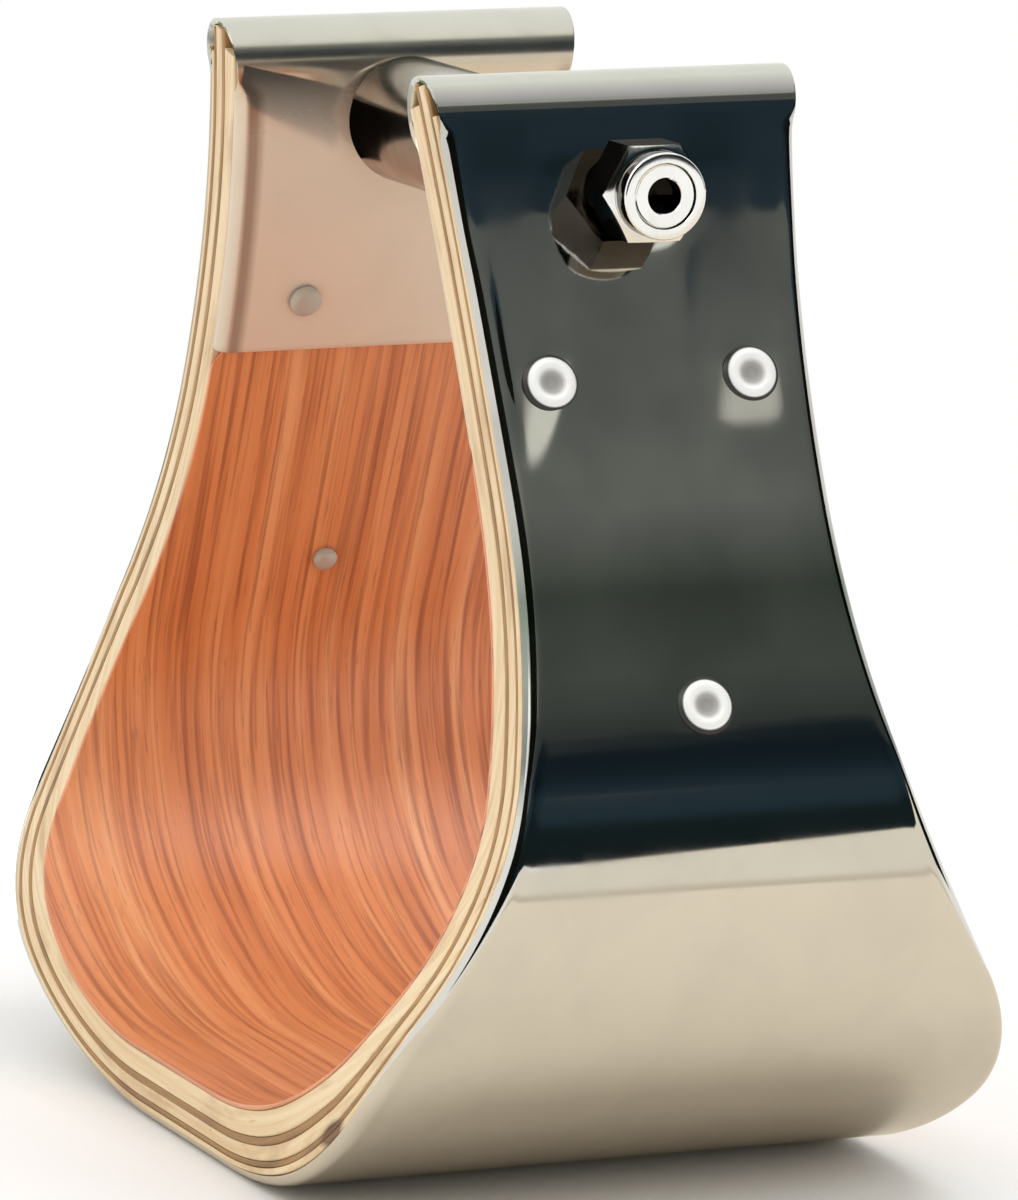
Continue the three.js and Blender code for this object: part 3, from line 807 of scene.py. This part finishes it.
class Pocket:
    """Place where the thin sheet is drawn in, with straight slopes up and down the wall and soft sides.

    The slopes have their lengths up and down the wall. The sides have their reaches to the front and the
    back, above and below the deepest place. A slant leads the lower part towards the front.
    """

    def __init__(self, level, across, depth, up, down, above, below=None, slant=0.0):
        self.centre = distance_at_level(level)
        self.across = across
        self.depth = depth
        self.up, self.down = up, down
        self.above, self.below = above, below or above
        self.slant = slant

    def depth_at(self, distance, y):
        along = distance - self.centre
        slope = self.up if along > 0 else self.down
        rest = 1 - math.hypot(along / slope, TIP_ROUNDING) + TIP_ROUNDING
        fall = (rest + math.hypot(rest, RIM_ROUNDING)) / 2
        offset = y - self.across - self.slant * min(along, 0.0)
        which = 1 if offset > 0 else 0
        reach = between((self.below[which], self.above[which]), ease(*SIDES_CHANGE, along))
        return self.depth * fall * math.exp(-(offset / reach) ** 4)


def sheet_pockets(side):
    """Pockets round the three rivets, right across below them, by the front edge and round the nut."""
    places = rivet_places(side)
    front_level, front = places["upper_front"]
    back_level, back = places["upper_back"]
    low_level, low = places["lower"]
    return [
        Pocket(front_level + 3.0, front - 2.5, DEEPEST_POCKET, 55.0, 15.0, above=(12.0, 5.6), slant=0.42),
        Pocket(back_level + 3.5, back - 1.0, DEEPEST_POCKET, 55.0, 11.6, above=(8.0, 6.0)),
        Pocket(low_level + 1.0, low, 0.24, 8.0, 7.0, above=(6.0, 6.0), below=(6.0, 5.0)),
        Pocket(71.0, 0.0, 0.75, 9.5, 11.0, above=FULL_DEPTH),
        Pocket(front_level + 17.0, front - 10.0, 0.70, 8.0, 12.0, above=(10.0, 3.2)),
        Pocket(BOLT_LEVEL - 6.3, 0.0, DEEPEST_POCKET, 15.0, 5.0, above=(20.0, 16.0), below=(8.5, 8.5)),
        Pocket(BOLT_LEVEL - 5.0, 0.0, 0.45, 14.0, 13.0, above=FULL_DEPTH),
    ]


POCKETS = {side: sheet_pockets(side) for side in ("right", "left")}
BROAD_REACH = 30.0
POCKET_BLEND = 6
WAVE_LENGTHS = (30.0, 22.0)
WAVE_DEPTH = 0.03
WAVE_PLACES = {"right": 3.0, "left": 9.0}
CROWN_AT = distance_at_level(102.0)
CROWN_LENGTH = 34.0
CROWN_DEPTH = 0.24
DENTS_BEGIN = (25.0, 60.0)
DENTS_RUN_OUT = 10.0
FRONT_FADE, BACK_FADE = 0.045, 0.09


def sheet_dent(distance, y, side, broad_only=False):
    """How far the sheet is drawn in: about its deepest pocket there, with slow shallow waves over all."""
    pockets = [pocket for pocket in POCKETS[side] if pocket.above[0] > BROAD_REACH or not broad_only]
    drawn = sum(pocket.depth_at(distance, y) ** POCKET_BLEND for pocket in pockets) ** (1 / POCKET_BLEND)
    wave = noise.noise(Vector((distance / WAVE_LENGTHS[0], y / WAVE_LENGTHS[1], WAVE_PLACES[side])))
    crown = 1 - math.exp(-((distance - CROWN_AT) / CROWN_LENGTH) ** 2)
    return min(max(drawn, CROWN_DEPTH * crown) + WAVE_DEPTH * (1 + wave), DEEPEST_POCKET)


def cover_point(along, share):
    """Where a point of the sheet's outer face goes, from its distance along and its share across."""
    distance = abs(along)
    side = "right" if along > 0 else "left"
    x, z, heading = place_on(SHEET_RUNS, distance)
    lip = lip_share(distance)
    turn = math.pi / 2 * (0.25 + 0.75 * lip)
    radius = EDGE_ROUND + (BEND_RADIUS - EDGE_ROUND) * lip
    reach = EDGE_ROUND + (BEND_REACH - EDGE_ROUND) * lip
    flat_half = half_depth(z) - reach * math.sin(turn)
    flat_share = 1 - BEND_COLUMNS_SHARE
    ends = ease(*DENTS_BEGIN, distance) * min(1.0, max(0.0, BOW_LENGTH - distance) / DENTS_RUN_OUT)
    if abs(share) <= flat_share:
        y = flat_half * share / flat_share
        inward = 0.0
        if distance < BOW_LENGTH:
            fade = ease(0.0, FRONT_FADE if share < 0 else BACK_FADE, flat_share - abs(share))
            broad = sheet_dent(distance, y, side, broad_only=True)
            inward = ends * (broad + fade * (sheet_dent(distance, y, side) - broad))
    else:
        angle = turn * (abs(share) - flat_share) / BEND_COLUMNS_SHARE
        y = math.copysign(flat_half + reach * math.sin(angle), share)
        inward = radius * (1 - math.cos(angle))
        if distance < BOW_LENGTH:
            broad = sheet_dent(distance, math.copysign(flat_half, share), side, broad_only=True)
            inward += ends * broad * (1 - angle / turn) ** 2
    inward += SHEET_TRIM
    x -= math.sin(heading) * inward
    z += math.cos(heading) * inward
    return (math.copysign(x, along), y, z)


def make_steel_cover():
    """One sheet bent from a flat grid, thickened inwards, with UV maps of its flat places."""
    bm = bmesh.new()
    bmesh.ops.create_grid(bm, x_segments=2 * STATIONS, y_segments=COLUMNS, size=1.0)
    strip, across = {}, {}
    for vert in bm.verts:
        along = math.copysign(station_distance(abs(vert.co.x) * STATIONS), vert.co.x)
        share = vert.co.y
        vert.co = cover_point(along, share)
        strip[vert] = (along / STRIP_UNIT, vert.co.y / STRIP_UNIT)
        across[vert] = (share, along / STRIP_UNIT)
    store_uv(bm, "strip", strip.get)
    store_uv(bm, "across", across.get)
    bmesh.ops.recalc_face_normals(bm, faces=bm.faces[:])
    lowest = min(bm.faces, key=lambda face: face.calc_center_median().z)
    if lowest.normal.z > 0:
        bmesh.ops.reverse_faces(bm, faces=bm.faces[:])
    piece = finish_piece(bm, "steel_cover_bent", "bow", "polished_sheet", sharp=60.0)
    thicken = piece.modifiers.new("sheet", "SOLIDIFY")
    thicken.thickness = SHEET * MM
    thicken.offset = -1.0
    deburr = piece.modifiers.new("deburred", "BEVEL")
    deburr.width = DEBURR * MM
    deburr.segments = 1
    deburr.limit_method = "ANGLE"
    deburr.angle_limit = math.radians(60)
    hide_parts("steel_cover")


# Rivets: the head's profile as radius and height, from the middle of its dimple to its rim
RIVET_HEAD = (
    (0.0, 0.46), (0.9, 0.52), (1.6, 0.70), (2.3, 0.95), (2.9, 1.05),
    (3.6, 0.90), (4.1, 0.62), (4.4, 0.25), (4.3, 0.0),
)


def make_rivets():
    """Low dished heads, sunk with the sheet round them, on shanks with clinched tails."""
    for side, sign in (("right", 1.0), ("left", -1.0)):
        for where, (level, across) in rivet_places(side).items():
            tail = RIVET_TAIL_RADII[where.split("_")[0]]
            distance = distance_at_level(level)
            x, z, heading = place_on(WALL_RUNS, distance)
            grip = (LINED_WALL if level > LINER_END_LEVEL else BARE_WALL) + SEAT_GAP
            seat = -sheet_dent(distance, across, side) - 0.1
            end = -grip - RIVET_TAIL_HEIGHT
            bm = spun([
                (0.0, end),
                (tail * 0.45, end),
                (tail * 0.8, end + 0.25),
                (tail, end + 0.7),
                (tail, -grip),
                (RIVET_SHANK_RADIUS, -grip),
                (RIVET_SHANK_RADIUS, seat),
                *[(radius, seat + height) for radius, height in reversed(RIVET_HEAD)],
            ])
            store_uv(bm, "turned", lambda vert: (vert.co.xy.length / TURNED_UNIT, vert.co.z / TURNED_UNIT))
            outward = Vector((sign * math.sin(heading), 0, -math.cos(heading)))
            turn_to(bm, outward, Vector((sign * x, across, z)))
            node = "rivet_{}_{}".format(side, where)
            piece = finish_piece(bm, node + "_head", "bow", "rivet_steel")
            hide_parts(node)


# Cross bolt, lock nut and roller, each made along +Z and then laid along the bolt
def hexed(bm, height):
    """Draws the widest rings of a turned shape in to a hexagon whose upper corners are chamfered."""
    for vert in bm.verts:
        x, y, z = vert.co
        if math.hypot(x, y) < HEX_CORNER - 0.01:
            continue
        angle = math.atan2(y, x) - math.pi / 2
        folded = (angle + math.pi / 6) % (math.pi / 3) - math.pi / 6
        radius = HEX_CORNER * math.cos(math.pi / 6) / math.cos(math.pi / 6 - abs(folded))
        if z > height / 2:
            z = height - (radius - HEX_FACE) * math.tan(math.radians(30))
        around = math.atan2(y, x)
        vert.co = (radius * math.cos(around), radius * math.sin(around), z)


def lay_on_bolt(bm, start):
    turn_to(bm, (1, 0, 0), (start, 0, BOLT_LEVEL))


def make_cross_bolt():
    """Hex head, plain shank, threads that show as grooves, and a hole in the end."""
    end = HEAD_START + NUT_START + NUT_HEIGHT - BOLT_END_RECESS
    thread_start = HEAD_START + PLAIN_SHANK
    root = BOLT_RADIUS - THREAD_DEPTH
    profile = [
        (0.0, -HEAD_HEIGHT),
        (HEX_FACE - 0.3, -HEAD_HEIGHT),
        (HEX_FACE, -HEAD_HEIGHT),
        (HEX_CORNER, -HEAD_HEIGHT + 0.8),
        (HEX_CORNER, 0.0),
        (BOLT_RADIUS, 0.0),
        (BOLT_RADIUS, thread_start),
    ]
    for k in range(int((end - 1.2 - thread_start) / THREAD_PITCH)):
        z = thread_start + k * THREAD_PITCH
        profile += [(BOLT_RADIUS, z + 0.25), (root, z + 0.65), (root, z + 0.85), (BOLT_RADIUS, z + 1.3)]
    profile += [
        (BOLT_RADIUS, end - 0.25),
        (BOLT_RADIUS - 0.25, end),
        (CENTRE_HOLE_RADIUS + 0.2, end),
        (CENTRE_HOLE_RADIUS, end - 0.2),
        (CENTRE_HOLE_RADIUS - 0.1, end - 3.2),
        (0.0, end - 4.4),
    ]
    bm = spun(profile)
    upside_down = Matrix.Scale(-1, 4, (0, 0, 1))
    bm.transform(upside_down)
    hexed(bm, HEAD_HEIGHT)
    bm.transform(upside_down)
    bmesh.ops.recalc_face_normals(bm, faces=bm.faces[:])
    lay_on_bolt(bm, -HEAD_START)
    piece = finish_piece(bm, "cross_bolt_turned", "bolt", "bolt_steel")
    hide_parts("cross_bolt")


def make_lock_nut():
    """Hex nut with a round collar, and the nylon ring in the collar's pocket."""
    bore = BOLT_RADIUS + THREAD_CLEARANCE
    pocket = COLLAR_RADIUS - COLLAR_WALL
    pocket_end = NUT_HEIGHT - COLLAR_WALL
    insert_start = pocket_end - SEAT_GAP - INSERT_HEIGHT
    profile = [
        (bore, 0.5),
        (bore + 0.5, 0.0),
        (HEX_CORNER, 0.0),
        (HEX_CORNER, NUT_HEX_HEIGHT),
        (HEX_FACE, NUT_HEX_HEIGHT),
        (COLLAR_RADIUS, NUT_HEX_HEIGHT),
        (COLLAR_RADIUS, NUT_HEIGHT - COLLAR_EDGE),
        *arc_points((COLLAR_RADIUS - COLLAR_EDGE, NUT_HEIGHT - COLLAR_EDGE), COLLAR_EDGE, 15, 90),
        (bore + 0.15, NUT_HEIGHT),
        (bore + 0.05, NUT_HEIGHT - 0.1),
        (bore + 0.05, pocket_end),
        (pocket, pocket_end),
        (pocket, insert_start - SEAT_GAP),
        (bore, insert_start - SEAT_GAP),
    ]
    bm = spun(profile, closed=True)
    hexed(bm, NUT_HEX_HEIGHT)
    lay_on_bolt(bm, NUT_START)
    piece = finish_piece(bm, "lock_nut_formed", "nut", "bolt_steel")
    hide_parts("lock_nut")

    outer = pocket - SEAT_GAP
    bm = spun([(bore, 0.0), (outer, 0.0), (outer, INSERT_HEIGHT), (bore, INSERT_HEIGHT)], closed=True)
    lay_on_bolt(bm, NUT_START + insert_start)
    piece = finish_piece(bm, "lock_nut_ring", "nut", "nylon")
    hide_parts("lock_nut_insert")


def make_strap_roller():
    top = distance_at_level(BOLT_LEVEL + ROLLER_RADIUS, LINED_WALL)
    half = on_wall(top, LINED_WALL)[0] - ROLLER_END_CLEARANCE
    bore = BOLT_RADIUS + ROLLER_BORE_CLEARANCE
    end = [
        (bore, half - 0.3),
        (bore + 0.3, half),
        *arc_points((ROLLER_RADIUS - ROLLER_EDGE, half - ROLLER_EDGE), ROLLER_EDGE, 90, 0),
    ]
    profile = end + [(radius, -height) for radius, height in reversed(end)]
    bm = spun(profile, steps=ROLLER_STEPS, closed=True)
    lay_on_bolt(bm, 0.0)
    piece = finish_piece(bm, "strap_roller_turned", "roller", "roller_steel")
    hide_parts("strap_roller")


# Camera, at the photograph's viewing angle
CAMERA_AZIMUTH = math.radians(68.03)
CAMERA_ELEVATION = math.radians(9.73)
CAMERA_ROLL = 0.0077
CAMERA_DISTANCE = 1.35
CAMERA_LENS = 308.1
CAMERA_AIM = (0.00296, -0.00214, 0.085)


def make_camera():
    a, e = CAMERA_AZIMUTH, CAMERA_ELEVATION
    back = Vector((math.sin(a) * math.cos(e), -math.cos(a) * math.cos(e), math.sin(e)))
    level = Vector((math.cos(a), math.sin(a), 0))
    upright = back.cross(level)
    right = math.cos(CAMERA_ROLL) * level + math.sin(CAMERA_ROLL) * upright
    up = math.cos(CAMERA_ROLL) * upright - math.sin(CAMERA_ROLL) * level
    aim = Vector((0, 0, CAMERA_AIM[2])) + CAMERA_AIM[0] * right + CAMERA_AIM[1] * up
    data = bpy.data.cameras.new("camera")
    data.lens = CAMERA_LENS
    data.sensor_width = 36.0
    data.sensor_fit = "HORIZONTAL"
    data.clip_end = 20.0
    camera = linked("camera", data)
    turn = Matrix((right, up, back)).transposed().to_4x4()
    camera.matrix_world = Matrix.Translation(aim + CAMERA_DISTANCE * back) @ turn
    bpy.context.scene.camera = camera


# Studio: white world, pale floor and soft lamps, and cards that only mirror rays see. Sizes and places
# are in metres here, azimuths and elevations in degrees, and the flag's values in millimetres.
WORLD_FILL = 0.8
CARD_ELEVATIONS = (-1.0, 47.0)
CARD_CENTRE = 0.1
DARK_CARD_RADIUS = 1.7
DARK_CARD_AZIMUTHS = (-38.0, 62.0)
BLACK_CARD_RADIUS = 1.65
BLACK_CARD_AZIMUTHS = {"front": (-52.0, -4.0), "back": (57.0, 80.0)}
PALE_CARD_RADIUS = 0.36
PALE_CARD_AZIMUTHS = (2.0, 44.0)
PALE_CARD_TOPS = (0.014, 0.190)
FLAG_CLEAR_OF_WALL = 4.0
FLAG_ACROSS = (-27.0, -8.0)
FLAG_BOTTOMS = (155.5, 145.0)
FLAG_TOPS = (163.0, 157.0)
FLOOR_RADIUS = 0.6
FLOOR_FADE = (0.30, 0.55)
FLOOR_TONE = (0.97, 0.97, 0.965)
FLOOR_IN_MIRRORS = (0.80, 0.725, 0.615)
LAMP_CENTRE = (0.0, 0.0, 0.08)
SHEEN_PLACE = (-0.064, 0.0, 0.058)
SHEEN_SIZE = (0.016, 0.092)
SHEEN_WATTS = 0.0048

# Soft lamps: name, azimuth, elevation, distance, size, watts, colour, and whether mirrors show them
SOFT_LAMPS = (
    ("key_softbox", -75, 50, 1.4, 0.9, 4.0, (1.0, 0.98, 0.95), True),
    ("top_softbox", 56, 64, 1.4, 0.6, 4.0, (1.0, 0.99, 0.97), False),
    ("side_softbox", -10, 35, 1.6, 1.0, 3.0, (1.0, 0.98, 0.96), False),
)


def outward_at(azimuth, elevation):
    """Direction from the stirrup, with the azimuth counted from +X towards +Y."""
    a, e = math.radians(azimuth), math.radians(elevation)
    return Vector((math.cos(a) * math.cos(e), math.sin(a) * math.cos(e), math.sin(e)))


def make_world():
    """White where the camera, mirrors and clear things see it, and a little dimmer as a light."""
    world = bpy.data.worlds.new("studio")
    bpy.context.scene.world = world
    world.use_nodes = True
    tree = world.node_tree
    background = tree.nodes["Background"]
    rays = add(tree, "ShaderNodeLightPath")
    shown = math_node(tree, "MAXIMUM", rays.outputs["Is Camera Ray"], rays.outputs["Is Glossy Ray"])
    shown = math_node(tree, "MAXIMUM", shown, rays.outputs["Is Transmission Ray"])
    strength = math_node(tree, "MULTIPLY_ADD", shown, 1.0 - WORLD_FILL)
    strength.node.inputs[2].default_value = WORLD_FILL
    background.inputs["Color"].default_value = (1.0, 1.0, 1.0, 1.0)
    tree.links.new(strength, background.inputs["Strength"])


def card_material(name, low, high, stops):
    """Unlit card whose colour follows its height in metres."""
    material = bpy.data.materials.new(name)
    material.use_nodes = True
    tree = material.node_tree
    tree.nodes.clear()
    place = add(tree, "ShaderNodeNewGeometry").outputs["Position"]
    height = add(tree, "ShaderNodeMapRange")
    height.inputs["From Min"].default_value = low
    height.inputs["From Max"].default_value = high
    tree.links.new(axes_of(tree, place)["Z"], height.inputs["Value"])
    scaled = [((level - low) / (high - low), color) for level, color in stops]
    glow = add(tree, "ShaderNodeEmission")
    tree.links.new(ramp(tree, height.outputs[0], scaled), glow.inputs["Color"])
    output = add(tree, "ShaderNodeOutputMaterial")
    tree.links.new(glow.outputs[0], output.inputs["Surface"])
    return material


def make_card(name, radius, azimuths, bottom, top, material):
    """Upright card bent round the stirrup. Its top may be a function of the azimuth."""
    bm = bmesh.new()
    bmesh.ops.create_grid(bm, x_segments=48, y_segments=12, size=0.5)
    for vert in bm.verts:
        azimuth = between(azimuths, vert.co.x + 0.5)
        height = between((bottom, top(azimuth) if callable(top) else top), vert.co.y + 0.5)
        vert.co = radius * outward_at(azimuth, 0.0) + Vector((0, 0, height))
    stage_card(name, bm, material)


def stage_card(name, bm, material):
    """Links a card that only mirror rays see."""
    card = linked_mesh(name, bm, material)
    card.visible_camera = False
    card.visible_diffuse = False
    card.visible_shadow = False
    card.visible_transmission = False


def make_cards():
    """Dark card before the near wall, black ones beside it, and a pale one low down."""

    def at(elevation):
        return CARD_CENTRE + DARK_CARD_RADIUS * math.tan(math.radians(elevation))

    low, high = (at(elevation) for elevation in CARD_ELEVATIONS)
    dark = card_material("dark_card", low, high, [
        (at(0), (0.007, 0.013, 0.015)),
        (at(17), (0.009, 0.017, 0.020)),
        (at(21), (0.018, 0.036, 0.050)),
        (at(26.2), (0.027, 0.045, 0.062)),
        (at(27.6), (0.118, 0.130, 0.128)),
        (at(33.5), (0.135, 0.148, 0.144)),
        (at(37), (0.160, 0.172, 0.164)),
        (at(39.4), (0.18, 0.19, 0.18)),
        (at(42.2), (0.95, 0.96, 0.90)),
    ])
    make_card("dark_card", DARK_CARD_RADIUS, DARK_CARD_AZIMUTHS, low, high, dark)
    black = card_material("black_card", low, high, [
        (at(0), (0.004, 0.005, 0.004)),
        (high, (0.012, 0.013, 0.010)),
    ])
    for side, azimuths in BLACK_CARD_AZIMUTHS.items():
        make_card("black_card_" + side, BLACK_CARD_RADIUS, azimuths, low, high, black)

    def slanted(azimuth):
        first, last = PALE_CARD_AZIMUTHS
        return between(PALE_CARD_TOPS, (azimuth - first) / (last - first))

    # The pale card is darker at its foot, a painted contact shadow where it meets the floor.
    pale = card_material("pale_card", 0.0, 0.3, [
        (0.0, (0.66, 0.58, 0.47)),
        (0.008, (0.72, 0.65, 0.54)),
        (0.016, (0.90, 0.85, 0.75)),
        (0.3, (0.92, 0.87, 0.77)),
    ])
    make_card("pale_card", PALE_CARD_RADIUS, PALE_CARD_AZIMUTHS, 0.0, slanted, pale)


def make_neck_flag():
    """Black flag by the far neck, which darkens the roller's front and its mirror image in the liner."""
    x = FLAG_CLEAR_OF_WALL - wall_face(BOLT_LEVEL) + LINED_WALL
    bm = bmesh.new()
    bmesh.ops.create_grid(bm, x_segments=12, y_segments=4, size=0.5)
    for vert in bm.verts:
        share = vert.co.x + 0.5
        edges = (between(FLAG_BOTTOMS, share), between(FLAG_TOPS, share))
        vert.co = (x * MM, between(FLAG_ACROSS, share) * MM, between(edges, vert.co.y + 0.5) * MM)
    dim = card_material("neck_flag", 0.0, 0.2, [
        (0.0, (0.003, 0.002, 0.001)),
        (0.2, (0.004, 0.003, 0.002)),
    ])
    stage_card("neck_flag", bm, dim)


def make_floor():
    """Pale floor that fades out into the white world before its edge; polished metal sees it warmer."""
    bm = bmesh.new()
    bmesh.ops.create_circle(bm, cap_ends=True, segments=96, radius=FLOOR_RADIUS)
    material, tree, shader = new_material("pale_floor", Roughness=0.9)
    shader.inputs["Specular IOR Level"].default_value = 0.0
    glossy = add(tree, "ShaderNodeLightPath").outputs["Is Glossy Ray"]
    feed(tree, shader, "Base Color", mix_colors(tree, glossy, FLOOR_TONE, FLOOR_IN_MIRRORS))
    away = add(tree, "ShaderNodeVectorMath", operation="LENGTH")
    tree.links.new(add(tree, "ShaderNodeNewGeometry").outputs["Position"], away.inputs[0])
    fade = ramp(tree, away.outputs["Value"], [(FLOOR_FADE[0], 1.0), (FLOOR_FADE[1], 0.0)], "EASE")
    feed(tree, shader, "Alpha", fade)
    floor = linked_mesh("floor", bm, material)


def area_lamp(name, shape, watts):
    data = bpy.data.lights.new(name, "AREA")
    data.shape = shape
    data.energy = watts
    return linked(name, data)


def make_soft_lamp(name, azimuth, elevation, distance, size, watts, color, in_mirrors):
    lamp = area_lamp(name, "DISK", watts)
    lamp.data.size = size
    lamp.data.color = color
    toward = outward_at(azimuth, elevation)
    turn = toward.to_track_quat("Z", "Y").to_matrix().to_4x4()
    lamp.matrix_world = Matrix.Translation(Vector(LAMP_CENTRE) + distance * toward) @ turn
    lamp.visible_glossy = in_mirrors


def make_sheen_strip():
    """Low strip light that only mirror rays see, for the pale band on the far wall's varnish."""
    lamp = area_lamp("sheen_strip", "RECTANGLE", SHEEN_WATTS)
    lamp.data.size, lamp.data.size_y = SHEEN_SIZE
    lamp.location = SHEEN_PLACE
    lamp.visible_camera = False
    lamp.visible_diffuse = False
    lamp.visible_transmission = False


make_camera()
make_wood_layers()
make_steel_cover()
make_rivets()
make_cross_bolt()
make_lock_nut()
make_strap_roller()
make_world()
make_cards()
make_neck_flag()
make_floor()
for soft_lamp in SOFT_LAMPS:
    make_soft_lamp(*soft_lamp)
make_sheen_strip()

bpy.context.scene.view_settings.view_transform = "Standard"
